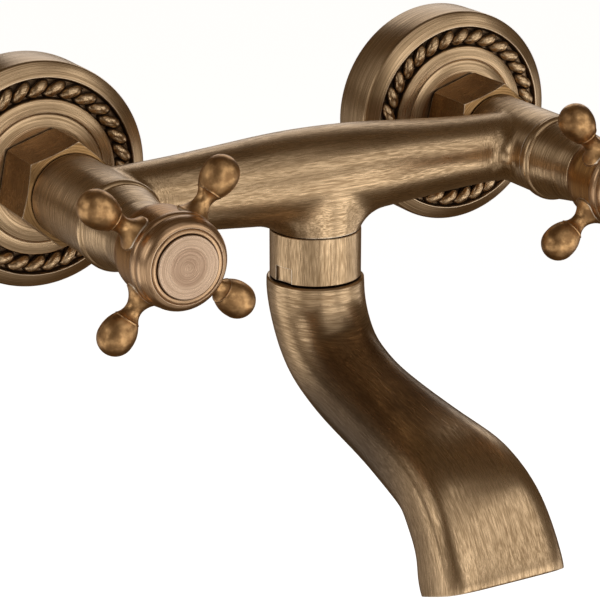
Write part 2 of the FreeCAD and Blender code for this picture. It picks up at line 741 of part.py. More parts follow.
def flow_straightener():
    """Slotted insert inside the mouth of the spout."""
    thickness, row_pitch, column_pitch = 4.0, 5.2, 3.4
    slot_width, slot_height, slot_depth = 2.4, 3.6, 40.0
    rows, columns = (-1, 0, 1), range(-4, 5)
    length = spout_length()
    plug = spout_loft(SPOUT_WALL + FIT, 1 - (TIP_RECESS + thickness) / length,
                      1 - TIP_RECESS / length, 3)
    forward, height, lean = spout_point(length)
    slots = [Part.makeBox(slot_width, slot_height, slot_depth,
                          Vector(column * column_pitch - slot_width / 2,
                                 row * row_pitch - slot_height / 2, -slot_depth / 2))
             for row in rows for column in columns]
    grid = slots[0].multiFuse(slots[1:])
    grid.rotate(ORIGIN, Vector(1, 0, 0), -math.degrees(lean))
    grid.translate(Vector(0, -forward, height))
    return plug.cut(grid)


# ---- assembly -----------------------------------------------------------------------------
def shared_pieces():
    """Pieces that are alike on both sides, drawn on the middle plane."""
    return {
        "eccentric_union": eccentric_union(),
        "flange": flange(),
        "union_nut": union_nut(),
        "inlet_gasket": inlet_gasket(),
        "inlet_nipple": inlet_nipple(),
        "cartridge_body": cartridge_body(),
        "cartridge_seal": cartridge_seal(),
        "fixed_disc": fixed_disc(),
        "moving_disc": moving_disc(),
        "cartridge_stem": cartridge_stem(),
        "stem_o_rings": stem_o_rings(),
        "valve_sleeve": valve_sleeve(),
        "index_button": index_button(),
        "handle_screw": handle_screw(),
    }


def handle_pieces(side):
    """Hub and levers of one handle, whose cross is turned the other way on the other side."""
    hub = hub_blank()
    pieces = {"handle_hub": handle_hub(hub, side)}
    arm = lever(hub)
    for index in range(LEVERS):
        pieces[f"lever_{index + 1}"] = radial(arm, lever_angle(side, index))
    return pieces


def assembly():
    """All nodes by name, lifted from the bar axis to the frame of the wall pipes."""
    nodes = {
        "body": body(),
        "spout_collar": collar_nut(),
        "spout": spout(),
        "spout_o_rings": spout_o_rings(),
        "spout_split_ring": split_ring(),
        "flow_straightener": flow_straightener(),
    }
    shared = shared_pieces()
    for name, side in SIDES:
        for piece, shape in {**shared, **handle_pieces(side)}.items():
            nodes[f"{name}_{piece}"] = to_side(shape, side)
    for shape in nodes.values():
        shape.translate(Vector(0, 0, ECCENTRIC_RISE))
    return nodes


def main():
    """Writes one STEP file for each node."""
    os.makedirs("parts", exist_ok=True)
    for name, shape in assembly().items():
        print(f"{name:26s} solids {len(shape.Solids)} valid {shape.isValid()} "
              f"volume {shape.Volume / 1000:.2f} cm3")
        shape.exportStep(f"parts/{name}.step")


main()
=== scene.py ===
"""Wall mounted bath faucet in antique brass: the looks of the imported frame."""

from __future__ import annotations

import json
import logging
import math
from dataclasses import dataclass
from enum import Enum
from typing import Any, Iterable

import bmesh
import bpy
from mathutils import Matrix, Vector

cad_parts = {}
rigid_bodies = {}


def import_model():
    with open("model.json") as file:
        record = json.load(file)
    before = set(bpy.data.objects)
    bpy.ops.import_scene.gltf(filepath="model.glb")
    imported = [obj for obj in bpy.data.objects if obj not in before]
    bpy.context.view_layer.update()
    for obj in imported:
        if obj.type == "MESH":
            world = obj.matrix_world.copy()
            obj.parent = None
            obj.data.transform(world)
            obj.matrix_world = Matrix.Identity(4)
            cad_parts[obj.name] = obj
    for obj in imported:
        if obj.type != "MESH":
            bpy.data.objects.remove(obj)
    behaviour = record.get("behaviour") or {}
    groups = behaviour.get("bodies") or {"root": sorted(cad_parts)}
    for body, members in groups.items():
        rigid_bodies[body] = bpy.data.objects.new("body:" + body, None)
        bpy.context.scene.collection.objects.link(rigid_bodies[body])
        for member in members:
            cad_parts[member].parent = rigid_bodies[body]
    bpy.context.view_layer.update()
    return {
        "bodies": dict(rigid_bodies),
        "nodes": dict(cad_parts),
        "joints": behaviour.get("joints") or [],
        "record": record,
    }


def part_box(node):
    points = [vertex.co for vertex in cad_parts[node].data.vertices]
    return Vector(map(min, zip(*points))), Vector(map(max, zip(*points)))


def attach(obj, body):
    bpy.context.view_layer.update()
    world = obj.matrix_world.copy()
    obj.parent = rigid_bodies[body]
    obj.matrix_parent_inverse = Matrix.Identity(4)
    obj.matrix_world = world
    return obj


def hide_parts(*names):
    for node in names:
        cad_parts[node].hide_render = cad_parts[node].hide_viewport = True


LOG = logging.getLogger("faucet")
MM = 0.001
SIDES = ("left", "right")
Colour = tuple[float, float, float]
Corner = tuple[float, float, float]
Span = tuple[float, float]
Frame = dict[str, Any]
Socket = bpy.types.NodeSocket
Value = Socket | float
Tint = Socket | Colour
Element = bmesh.types.BMVert | bmesh.types.BMEdge | bmesh.types.BMFace


# ---- places, read from the frame ----------------------------------------------------------
def middle(node: str) -> Vector:
    """Gives the middle of a node's box.

    Args:
        node: name of the node.

    Returns:
        The middle point, in metres.
    """
    low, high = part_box(node)
    return (Vector(low) + Vector(high)) / 2


# ---- finishes -----------------------------------------------------------------------------
class Brush(Enum):
    """Which way the wire brush ran over a surface."""

    BAR_AND_TUBES = "along the crossbar, in rings round the valve tubes"
    UPRIGHT = "in lines along Z"
    ROUND_VALVE = "in rings round a valve axis"
    DOWN_SPOUT = "across the top bend, then down the length of the spout"
    NONE = "polished by hand, with no lines"


class Across(Enum):
    """What a band of another tone is measured by."""

    FORWARD = "the distance out from the wall"
    RADIUS = "the distance from the valve axis"


class Sheet:
    """The node tree of one material, with short calls that add and join nodes."""

    def __init__(self, name: str) -> None:
        """Starts an empty tree with its output.

        Args:
            name: name of the material.
        """
        self.material = bpy.data.materials.new(name)
        self.material.use_nodes = True
        self.tree = self.material.node_tree
        self.tree.nodes.clear()
        self.output = self.tree.nodes.new("ShaderNodeOutputMaterial")

    def add(self, kind: str, **settings: object) -> bpy.types.Node:
        """Adds a node.

        Args:
            kind: type of the node, without its ShaderNode prefix.
            settings: values of its properties.

        Returns:
            The new node.
        """
        node = self.tree.nodes.new("ShaderNode" + kind)
        for name, value in settings.items():
            setattr(node, name, value)
        return node

    def join(self, source: Value | tuple[float, ...], target: Socket) -> None:
        """Puts a socket's output, or a plain value, on an input.

        Args:
            source: an output socket or a value.
            target: the input socket.
        """
        if isinstance(source, Socket):
            self.tree.links.new(source, target)
        else:
            target.default_value = source

    def maths(self, operation: str, first: Value, second: Value = 0.0,
              clamp: bool = False) -> Socket:
        """Adds a Math node.

        Args:
            operation: the Math node's operation.
            first: first input, a socket or a number.
            second: second input, a socket or a number.
            clamp: whether the result is kept between 0 and 1.

        Returns:
            The result's socket.
        """
        node = self.add("Math", operation=operation, use_clamp=clamp)
        self.join(first, node.inputs[0])
        self.join(second, node.inputs[1])
        return node.outputs[0]

    def ramp(self, source: Socket, low: float, high: float) -> Socket:
        """Stretches a value smoothly, so that low becomes 0 and high becomes 1.

        Args:
            source: the value's socket.
            low: value that becomes 0.
            high: value that becomes 1.

        Returns:
            The stretched value's socket.
        """
        node = self.add("MapRange", interpolation_type="SMOOTHSTEP")
        self.join(source, node.inputs["Value"])
        node.inputs["From Min"].default_value = low
        node.inputs["From Max"].default_value = high
        return node.outputs["Result"]

    def mix(self, share: Value, first: Tint, second: Tint) -> Socket:
        """Mixes two colours.

        Args:
            share: how much of the second colour shows, a socket or a number.
            first: a socket or a colour.
            second: a socket or a colour.

        Returns:
            The mixed colour's socket.
        """
        node = self.add("Mix", data_type="RGBA")
        colour_inputs = [s for s in node.inputs if s.type == "RGBA"]
        self.join(share, node.inputs["Factor"])
        for value, target in zip((first, second), colour_inputs):
            self.join((*value, 1.0) if isinstance(value, tuple) else value, target)
        return next(s for s in node.outputs if s.type == "RGBA")

    def place(self, centre: Vector) -> Socket:
        """Gives the object's own coordinates, in metres.

        Args:
            centre: the point that they are counted from.

        Returns:
            The coordinates' socket.
        """
        where = self.add("TexCoord").outputs["Object"]
        mapping = self.add("Mapping")
        self.join(where, mapping.inputs["Vector"])
        mapping.inputs["Location"].default_value = -centre
        return mapping.outputs["Vector"]

    def noise(self, vector: Socket, scale: float, detail: float = 3.0,
              fourth: Socket | None = None) -> Socket:
        """Adds a noise texture.

        Args:
            vector: socket of the coordinates.
            scale: the texture's scale.
            detail: number of octaves.
            fourth: optional socket of a fourth coordinate.

        Returns:
            Socket of the noise's value.
        """
        node = self.add("TexNoise", noise_dimensions="3D" if fourth is None else "4D")
        self.join(vector, node.inputs["Vector"])
        node.inputs["Scale"].default_value = scale
        node.inputs["Detail"].default_value = detail
        if fourth is not None:
            self.join(fourth, node.inputs["W"])
        return node.outputs[0]


@dataclass(frozen=True)
class Band:
    """Another tone of the brass beyond a place on the piece."""

    across: Across
    start: float
    end: float
    light: Colour
    dark: Colour


@dataclass(frozen=True)
class PaintedShadeStretch:
    """A stretch of a piece darkened by painted shade, in metres forward."""

    start: float
    full: float
    fade: float
    end: float
    depth: float

    def painted_shade_share(self, sheet: Sheet, forward: Socket) -> Socket:
        """Gives how much painted shade lies along the stretch.

        Args:
            sheet: the material's tree.
            forward: socket of the place along Y.

        Returns:
            Socket of the painted shade's share.
        """
        begun = sheet.ramp(forward, -self.start, -self.full)
        lasting = sheet.ramp(forward, -self.end, -self.fade)
        return sheet.maths("MULTIPLY", sheet.maths("MULTIPLY", begun, lasting), self.depth)


@dataclass(frozen=True)
class SpoutCourse:
    """The course of the spout seen from the side, counted from the collar, in metres."""

    run_slope: float = 8.1
    bend_forward: float = 0.0720
    bend_down: float = 0.0742
    lines_turn: Span = (-0.018, -0.034)

    def off(self, sheet: Sheet, forward: Socket, up: Socket) -> Socket:
        """Measures how far a place is from the middle of the spout's last bend.

        Behind the bend the measure goes on straight, along the spout's long run.

        Args:
            sheet: the material's tree.
            forward: socket of the place along Y.
            up: socket of the place along Z.

        Returns:
            Socket of the distance, which is the same all along a brush line.
        """
        slope = math.radians(self.run_slope)
        ahead = sheet.maths("ADD", forward, self.bend_forward)
        above = sheet.maths("ADD", up, self.bend_down)
        off = sheet.maths("SUBTRACT", sheet.maths("MULTIPLY", above, math.cos(slope)),
                          sheet.maths("MULTIPLY", ahead, math.sin(slope)))
        past = sheet.maths("ADD", sheet.maths("MULTIPLY", ahead, -math.cos(slope)),
                           sheet.maths("MULTIPLY", above, -math.sin(slope)))
        past = sheet.maths("MAXIMUM", past, 0.0)
        return sheet.maths("SQRT", sheet.maths("ADD", sheet.maths("MULTIPLY", off, off),
                                               sheet.maths("MULTIPLY", past, past)))


@dataclass(frozen=True)
class BrushedBrass:
    """Antique brass, brushed through its dark tarnish, with edges made bright by wear and a
    painted highlight, and recesses made dark by tarnish and painted shade.

    Lengths are in metres, and scales are in lines to the metre. A contrast is the pair of
    values between which a pattern goes from none to full. A dash and a scratch are how
    fast the noise changes along a line, against across it, and a share of the line scale.
    The arc says it for rings, as the radius of a circle walked in the noise.
    """

    name: str
    brush: Brush
    centre: Vector
    light: Colour = (0.68, 0.485, 0.29)
    dark: Colour = (0.20, 0.118, 0.050)
    # Colour of the darkened recesses and of the painted shade on the spout: partly tarnish,
    # partly painted shade.
    patina_and_shade: Colour = (0.036, 0.019, 0.011)
    # Colour of the bright edges: partly wear, partly a painted highlight.
    rubbed_and_highlight: Colour = (0.95, 0.83, 0.66)
    roughness: float = 0.27
    line_scale: float = 3600.0
    line_contrast: Span = (0.38, 0.62)
    line_share: float = 0.60
    line_roughness: float = 0.10
    dash: Span = (0.06, 1.0)
    scratch: Span = (0.02, 0.45)
    scratch_share: float = 0.35
    arc: float = 1.6
    axis_radius: float = 0.0005
    tubes_from: Span = (0.049, 0.057)
    mottle_scale: float = 360.0
    cloud_scale: float = 90.0
    cloud_contrast: Span = (0.35, 0.70)
    cloud_share: float = 0.16
    relief: float = 0.25
    relief_height: float = 0.00010
    soft_edge: float = 0.00018
    # Recess fields: darkening near other surfaces, partly tarnish kept in the hollows and
    # partly painted shade.
    recess_reach: float = 0.0030
    recess_contrast: Span = (0.72, 0.28)
    recess_depth: float = 0.92
    recess_roughness: float = 0.2
    # Edge fields: brightening of convex edges, partly wear and partly a painted highlight.
    edge_reach: float = 0.0006
    edge_contrast: Span = (0.86, 0.5)
    edge_share: float = 0.85
    feelers: int = 8
    band: Band | None = None
    # Painted shade that darkens a stretch of the piece.
    painted_shade: PaintedShadeStretch | None = None
    course: SpoutCourse = SpoutCourse()

    def lines(self, sheet: Sheet) -> Socket:
        """Makes the noise of the brush lines.

        Args:
            sheet: the material's tree.

        Returns:
            Socket of a value between 0 and 1.
        """
        place = sheet.place(self.centre)
        if self.brush is Brush.BAR_AND_TUBES:
            return self.bar_and_tubes(sheet, place)
        if self.brush is Brush.UPRIGHT:
            return self.stretched(sheet, place, "Z")
        if self.brush is Brush.ROUND_VALVE:
            return self.rings(sheet, place)
        if self.brush is Brush.DOWN_SPOUT:
            return self.down_spout(sheet, place)
        return sheet.noise(place, self.mottle_scale, detail=5.0)

    def bar_and_tubes(self, sheet: Sheet, place: Socket) -> Socket:
        """Runs the lines along the crossbar, and in rings round the valve tubes.

        Args:
            sheet: the material's tree.
            place: socket of the coordinates, from the middle of the crossbar.

        Returns:
            Socket of the lines' value.
        """
        along = self.stretched(sheet, place, "X")
        split = sheet.add("SeparateXYZ")
        sheet.join(place, split.inputs[0])
        aside = sheet.maths("ABSOLUTE", split.outputs["X"])
        tube_offset = abs(middle("left_flange").x - middle("body").x)
        tube = sheet.add("CombineXYZ")
        sheet.join(sheet.maths("SUBTRACT", aside, tube_offset), tube.inputs["X"])
        sheet.join(split.outputs["Y"], tube.inputs["Y"])
        sheet.join(split.outputs["Z"], tube.inputs["Z"])
        around = self.rings(sheet, tube.outputs["Vector"])
        return self.blend(sheet, sheet.ramp(aside, *self.tubes_from), along, around)

    def down_spout(self, sheet: Sheet, place: Socket) -> Socket:
        """Runs the lines across the top bend of the spout, then down its length.

        Args:
            sheet: the material's tree.
            place: socket of the coordinates, from the collar.

        Returns:
            Socket of the lines' value.
        """
        across = self.stretched(sheet, place, "XY")
        split = sheet.add("SeparateXYZ")
        sheet.join(place, split.inputs[0])
        forward, up = split.outputs["Y"], split.outputs["Z"]
        path = sheet.add("CombineXYZ")
        sheet.join(split.outputs["X"], path.inputs["X"])
        sheet.join(self.course.off(sheet, forward, up), path.inputs["Y"])
        sheet.join(sheet.maths("ADD", forward, up), path.inputs["Z"])
        down = self.stretched(sheet, path.outputs["Vector"], "Z")
        return self.blend(sheet, sheet.ramp(forward, *self.course.lines_turn), across, down)

    @staticmethod
    def blend(sheet: Sheet, share: Value, first: Socket, second: Socket) -> Socket:
        """Blends two values.

        Args:
            sheet: the material's tree.
            share: how much of the second value is taken, a socket or a number.
            first: socket of the first value.
            second: socket of the second value.

        Returns:
            Socket of the blended value.
        """
        rest = sheet.maths("SUBTRACT", 1.0, share)
        return sheet.maths("ADD", sheet.maths("MULTIPLY", first, rest),
                           sheet.maths("MULTIPLY", second, share))

    def stretched(self, sheet: Sheet, place: Socket, along: str) -> Socket:
        """Makes noise drawn out along some axes: short dashes with long scratches on them.

        Args:
            sheet: the material's tree.
            place: socket of the coordinates.
            along: letters of the axes that the lines follow.

        Returns:
            Socket of the noise's value.
        """
        made = []
        for drawn, scale in (self.dash, self.scratch):
            node = sheet.add("Mapping")
            sheet.join(place, node.inputs["Vector"])
            node.inputs["Scale"].default_value = [drawn if axis in along else 1.0
                                                  for axis in "XYZ"]
            made.append(sheet.noise(node.outputs["Vector"], self.line_scale * scale,
                                    detail=2.0))
        return self.blend(sheet, self.scratch_share, *made)

    @staticmethod
    def radius(sheet: Sheet, place: Socket) -> tuple[Socket, ...]:
        """Splits a place into its distance from the valve axis and its three parts.

        Args:
            sheet: the material's tree.
            place: socket of the coordinates, counted from the axis.

        Returns:
            Sockets of the distance and of the parts across, forward and up.
        """
        split = sheet.add("SeparateXYZ")
        sheet.join(place, split.inputs[0])
        across, up = split.outputs["X"], split.outputs["Z"]
        square = sheet.maths("ADD", sheet.maths("MULTIPLY", across, across),
                             sheet.maths("MULTIPLY", up, up))
        return sheet.maths("SQRT", square), across, split.outputs["Y"], up

    def rings(self, sheet: Sheet, place: Socket) -> Socket:
        """Makes noise drawn out in rings round the valve axis, with no seam.

        Args:
            sheet: the material's tree.
            place: socket of the coordinates, counted from the axis.

        Returns:
            Socket of the noise's value.
        """
        radius, across, forward, up = self.radius(sheet, place)
        safe = sheet.maths("MAXIMUM", radius, self.axis_radius)
        around = sheet.add("CombineXYZ")
        for part, name in ((across, "X"), (up, "Y")):
            turn = sheet.maths("MULTIPLY", sheet.maths("DIVIDE", part, safe), self.arc)
            sheet.join(turn, around.inputs[name])
        sheet.join(sheet.maths("MULTIPLY", forward, self.line_scale), around.inputs["Z"])
        return sheet.noise(around.outputs["Vector"], 1.0,
                           fourth=sheet.maths("MULTIPLY", radius, self.line_scale))

    def brass(self, sheet: Sheet, share: Socket) -> Socket:
        """Colours the metal between its lighter and darker tone.

        Args:
            sheet: the material's tree.
            share: socket of how dark the metal is.

        Returns:
            Socket of the colour.
        """
        colour = sheet.mix(share, self.light, self.dark)
        if self.band is None and self.painted_shade is None:
            return colour
        radius, _, forward, _ = self.radius(sheet, sheet.place(self.centre))
        if self.band is not None:
            measure = radius if self.band.across is Across.RADIUS else forward
            other = sheet.mix(share, self.band.light, self.band.dark)
            reach = sheet.ramp(measure, self.band.start, self.band.end)
            colour = sheet.mix(reach, colour, other)
        # Painted shade: darkens a stretch of the spout towards the dark recess colour.
        if self.painted_shade is not None:
            left = self.painted_shade.painted_shade_share(sheet, forward)
            colour = sheet.mix(left, colour, self.patina_and_shade)
        return colour

    def paint_edge_highlight_and_recess_shade(self, sheet: Sheet, brass: Socket) -> tuple[Socket, Socket]:
        """Brightens the edges, by wear and a painted highlight, and darkens the recesses, by
        tarnish and painted shade.

        Args:
            sheet: the material's tree.
            brass: socket of the brushed metal's colour.

        Returns:
            Sockets of the colour and of how deep in a recess the metal is.
        """
        # Painted highlight: the edge mask brightens convex edges towards the bright edge
        # colour, partly standing for real wear.
        edge = sheet.add("AmbientOcclusion", samples=self.feelers, inside=True)
        edge.inputs["Distance"].default_value = self.edge_reach
        proud = sheet.ramp(edge.outputs["AO"], *self.edge_contrast)
        bright = sheet.maths("MULTIPLY", proud, self.edge_share)
        brass = sheet.mix(bright, brass, self.rubbed_and_highlight)
        # Painted shade: darkens places near other surfaces and between parts, partly
        # standing for tarnish in the hollows.
        recess = sheet.add("AmbientOcclusion", samples=self.feelers)
        recess.inputs["Distance"].default_value = self.recess_reach
        deep = sheet.ramp(recess.outputs["AO"], *self.recess_contrast)
        left = sheet.maths("MULTIPLY", deep, self.recess_depth)
        return sheet.mix(left, brass, self.patina_and_shade), deep

    def relief_of(self, sheet: Sheet, lines: Socket) -> Socket:
        """Lifts the brush lines off a surface whose edges are a little soft.

        Args:
            sheet: the material's tree.
            lines: socket of the lines' value.

        Returns:
            Socket of the surface's direction.
        """
        soft = sheet.add("Bevel", samples=6)
        soft.inputs["Radius"].default_value = self.soft_edge
        bump = sheet.add("Bump")
        sheet.join(lines, bump.inputs["Height"])
        sheet.join(soft.outputs["Normal"], bump.inputs["Normal"])
        bump.inputs["Strength"].default_value = self.relief
        bump.inputs["Distance"].default_value = self.relief_height
        return bump.outputs["Normal"]

    def material(self) -> bpy.types.Material:
        """Builds the material.

        Returns:
            The material, its tree joined up.
        """
        sheet = Sheet(self.name)
        lines = self.lines(sheet)
        brushed = sheet.ramp(lines, *self.line_contrast)
        clouds = sheet.noise(sheet.place(Vector()), self.cloud_scale, detail=4.0)
        cloudy = sheet.ramp(clouds, *self.cloud_contrast)
        share = sheet.maths("ADD", sheet.maths("MULTIPLY", brushed, self.line_share),
                            sheet.maths("MULTIPLY", cloudy, self.cloud_share), clamp=True)
        colour, deep = self.paint_edge_highlight_and_recess_shade(sheet, self.brass(sheet, share))
        shader = sheet.add("BsdfPrincipled")
        sheet.join(colour, shader.inputs["Base Color"])
        sheet.join(1.0, shader.inputs["Metallic"])
        rough = sheet.maths("ADD", sheet.maths("MULTIPLY", brushed, self.line_roughness),
                            self.roughness)
        dull = sheet.maths("MULTIPLY", deep, self.recess_roughness)
        sheet.join(sheet.maths("ADD", rough, dull), shader.inputs["Roughness"])
        sheet.join(self.relief_of(sheet, lines), shader.inputs["Normal"])
        sheet.join(shader.outputs["BSDF"], sheet.output.inputs["Surface"])
        return sheet.material


@dataclass(frozen=True)
class PlainFinish:
    """Inner piece: rubber, plastic, ceramic, steel or machined brass, slightly mottled."""

    name: str
    colour: Colour
    metallic: float
    roughness: float
    grain_scale: float = 900.0
    grain_contrast: Span = (0.3, 0.7)
    grain_shade: float = 0.7
    grain_roughness: float = 0.15

    def material(self) -> bpy.types.Material:
        """Builds the material.

        Returns:
            The material, its tree joined up.
        """
        sheet = Sheet(self.name)
        grain = sheet.noise(sheet.place(Vector()), self.grain_scale)
        darker = tuple(value * self.grain_shade for value in self.colour)
        shader = sheet.add("BsdfPrincipled")
        sheet.join(sheet.mix(sheet.ramp(grain, *self.grain_contrast), self.colour, darker),
                   shader.inputs["Base Color"])
        sheet.join(self.metallic, shader.inputs["Metallic"])
        rough = sheet.maths("ADD", sheet.maths("MULTIPLY", grain, self.grain_roughness),
                            self.roughness)
        sheet.join(rough, shader.inputs["Roughness"])
        sheet.join(shader.outputs["BSDF"], sheet.output.inputs["Surface"])
        return sheet.material


def dress(frame: Frame, nodes: Iterable[str], material: bpy.types.Material) -> None:
    """Gives nodes of the frame a material.

    Args:
        frame: the loaded frame.
        nodes: names of the nodes.
        material: the material they get.
    """
    for name in nodes:
        node = frame["nodes"][name]
        for slot in node.material_slots:
            slot.material = material
        if not node.material_slots:
            node.data.materials.append(material)
        LOG.info("dressed %s in %s", name, material.name)


# ---- shapes -------------------------------------------------------------------------------
@dataclass
class Lathe:
    """Turns a profile of corners about a valve axis.

    A corner is its distance out from the wall, its radius and how far it is rounded, in
    millimetres.
    """

    centre: Vector
    steps: int = 192
    rounding_steps: int = 5
    merge_gap: float = 0.002

    def turn(self, corners: Iterable[Corner]) -> bmesh.types.BMesh:
        """Rounds the corners and spins the profile into a closed skin.

        Args:
            corners: the profile's corners, in order round the section.

        Returns:
            The turned shape.
        """
        shape = bmesh.new()
        corners = list(corners)
        points = [shape.verts.new(self.place(forward, radius))
                  for forward, radius, _ in corners]
        for here, there in zip(points, points[1:] + points[:1]):
            shape.edges.new((here, there))
        for point, (_, _, rounding) in zip(points, corners):
            if rounding:
                bmesh.ops.bevel(shape, geom=[point], offset=rounding * MM,
                                segments=self.rounding_steps, profile=0.5,
                                affect="VERTICES", material=-1)
        bmesh.ops.spin(shape, geom=list(shape.verts) + list(shape.edges), cent=self.centre,
                       axis=(0, 1, 0), angle=2 * math.pi, steps=self.steps, use_merge=True)
        bmesh.ops.remove_doubles(shape, verts=shape.verts, dist=self.merge_gap * MM)
        bmesh.ops.recalc_face_normals(shape, faces=shape.faces)
        return shape

    def place(self, forward: float, radius: float) -> Vector:
        """Gives the point of a profile, in metres."""
        return Vector((self.centre.x, -forward * MM, self.centre.z + radius * MM))


def finish_piece(shape: bmesh.types.BMesh, name: str, material: bpy.types.Material,
                 crease: float = 40.0) -> bpy.types.Object:
    """Makes an object of a shape, smooth but for its sharp edges.

    Args:
        shape: the finished shape, which is freed.
        name: name of the piece.
        material: its finish.
        crease: angle in degrees past which an edge stays sharp.

    Returns:
        The object, at the origin.
    """
    for face in shape.faces:
        face.smooth = True
    for edge in shape.edges:
        if len(edge.link_faces) == 2 and edge.calc_face_angle() > math.radians(crease):
            edge.smooth = False
    mesh = bpy.data.meshes.new(name)
    shape.to_mesh(mesh)
    shape.free()
    mesh.materials.append(material)
    piece = bpy.data.objects.new(name, mesh)
    bpy.context.scene.collection.objects.link(piece)
    LOG.info("made %s with %d faces", name, len(mesh.polygons))
    return piece


# ---- sub-assemblies -----------------------------------------------------------------------
@dataclass
class Body:
    """The casting between the two valves, and the collar under it."""

    frame: Frame
    collar_lines: float = 4200.0
    collar_edge: float = 0.0004
    collar_relief: float = 0.15
    collar_recess: float = 0.005

    def build(self) -> None:
        """Dresses the casting and the collar nut."""
        body = BrushedBrass("brass_body", Brush.BAR_AND_TUBES, self.centre())
        dress(self.frame, ["body"], body.material())
        collar = BrushedBrass("brass_upright", Brush.UPRIGHT, middle("spout_collar"),
                              line_scale=self.collar_lines, edge_reach=self.collar_edge,
                              relief=self.collar_relief, recess_reach=self.collar_recess)
        dress(self.frame, ["spout_collar"], collar.material())

    @staticmethod
    def centre() -> Vector:
        """Gives the middle of the crossbar, at the height of the valve axes."""
        return Vector((middle("body").x, middle("body").y, middle("left_flange").z))


@dataclass
class Spout:
    """The swivelling spout."""

    frame: Frame
    # Painted shade that darkens the middle stretch of the spout.
    shaded_stretch: PaintedShadeStretch = PaintedShadeStretch(0.010, 0.028, 0.058, 0.090, 0.62)

    def build(self) -> None:
        """Dresses the spout."""
        brass = BrushedBrass("brass_down_spout", Brush.DOWN_SPOUT, middle("spout_collar"),
                             painted_shade=self.shaded_stretch)
        dress(self.frame, ["spout"], brass.material())


@dataclass
class RopedFlange:
    """Deep wall flange with a twisted rope laid in the groove of its face.

    Sizes are in millimetres. The wrap is how far a strand is followed round the rope to
    each side, in degrees, and the taper is the share of its thickness lost there.
    """

    side: str
    rope_radius: float = 27.35
    rope_depth: float = 16.1
    strands: int = 31
    twisted_together: int = 2
    twist_radius: float = 1.45
    strand_radius: float = 1.75
    wrap: float = 112.0
    taper: float = 0.55
    sections: int = 18
    strand_sides: int = 16
    brush_arc: float = 0.8
    # The darkening of the groove between the strands is partly tarnish and partly painted
    # shade.
    groove_shade: float = 0.8
    groove_patina_and_shade: Colour = (0.08, 0.043, 0.026)
    shell: tuple[Corner, ...] = (
        (0.0, 35.4, 0.1), (15.4, 35.4, 0.7), (18.25, 30.75, 0.35), (16.0, 30.1, 0.3),
        (15.9, 24.45, 0.4), (18.3, 24.25, 0.35), (19.15, 21.6, 1.4), (19.25, 20.3, 0.12),
        (18.75, 20.0, 0.1), (19.2, 19.7, 0.12), (20.1, 17.4, 1.2), (20.3, 15.9, 0.3),
        (20.3, 13.25, 0.15), (16.0, 13.25, 0.0), (16.0, 15.45, 0.0), (18.0, 17.4, 0.3),
        (16.6, 22.6, 0.3), (14.2, 23.6, 0.3), (14.2, 31.2, 0.3), (13.2, 33.6, 0.3),
        (0.0, 33.6, 0.1))

    def strand(self, shape: bmesh.types.BMesh) -> list[Element]:
        """Lofts the seen half of one strand at twelve o'clock, thin where it turns under.

        Args:
            shape: the mesh that it is added to.

        Returns:
            The strand's geometry.
        """
        before = self.seat(0)
        ring = bmesh.ops.create_circle(shape, segments=self.strand_sides, radius=1.0,
                                       cap_ends=True, matrix=before)
        verts = ring["verts"]
        edges = list({edge for vert in verts for edge in vert.link_edges})
        made = list(verts)
        for index in range(1, self.sections + 1):
            after = self.seat(index)
            grown = bmesh.ops.extrude_edge_only(shape, edges=edges)["geom"]
            verts = [item for item in grown if isinstance(item, bmesh.types.BMVert)]
            edges = [item for item in grown if isinstance(item, bmesh.types.BMEdge)
                     and all(vert in verts for vert in item.verts)]
            bmesh.ops.transform(shape, matrix=after @ before.inverted(), verts=verts)
            made += verts
            before = after
        bmesh.ops.holes_fill(shape, edges=edges, sides=0)
        faces = {face for vert in made for face in vert.link_faces}
        lines = {edge for vert in made for edge in vert.link_edges}
        return made + list(lines) + list(faces)

    def seat(self, index: int) -> Matrix:
        """Gives the place and size of one section of a strand.

        Args:
            index: number of the section, from 0 to the number of sections.

        Returns:
            The section's placement about the middle of the flange.
        """
        turn = math.radians(self.wrap) * (2 * index / self.sections - 1)
        pitch = self.twisted_together * 2 * math.pi * self.rope_radius / self.strands
        bearing = Matrix.Rotation(pitch * turn / (2 * math.pi) / self.rope_radius, 4, "Y")
        out = Matrix.Translation((0, -self.rope_depth * MM, self.rope_radius * MM))
        twist = Matrix.Rotation(turn - math.pi / 2, 4, "X")
        offset = Matrix.Translation((0, 0, self.twist_radius * MM))
        lay = math.atan2(2 * math.pi * self.twist_radius, pitch)
        lean = Matrix.Rotation(lay, 4, "Z")
        stand = Matrix.Rotation(math.pi / 2, 4, "Y")
        share = abs(turn) / math.radians(self.wrap)
        size = self.strand_radius * MM * (1.0 - self.taper * share ** 3)
        thickness = Matrix.Scale(size, 4)
        return bearing @ out @ twist.inverted() @ offset @ lean @ stand @ thickness

    def build(self) -> None:
        """Makes the flange and lets it stand for its node."""
        node = f"{self.side}_flange"
        centre = middle(node)
        on_wall = Vector((centre.x, 0.0, centre.z))
        rope = bmesh.new()
        strand = self.strand(rope)
        bmesh.ops.spin(rope, geom=strand, cent=(0, 0, 0), axis=(0, 1, 0),
                       angle=2 * math.pi * (1 - 1 / self.strands),
                       steps=self.strands - 1, use_duplicate=True)
        bmesh.ops.translate(rope, verts=rope.verts, vec=on_wall)
        bmesh.ops.recalc_face_normals(rope, faces=rope.faces)
        shape = Lathe(on_wall).turn(self.shell)
        mesh = bpy.data.meshes.new("rope")
        rope.to_mesh(mesh)
        rope.free()
        shape.from_mesh(mesh)
        bpy.data.meshes.remove(mesh)
        brass = BrushedBrass(f"brass_flange_{self.side}", Brush.ROUND_VALVE, on_wall,
                             arc=self.brush_arc, recess_depth=self.groove_shade,
                             patina_and_shade=self.groove_patina_and_shade)
        piece = finish_piece(shape, f"{self.side}_roped_flange", brass.material())
        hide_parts(node)
        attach(piece, "faucet")


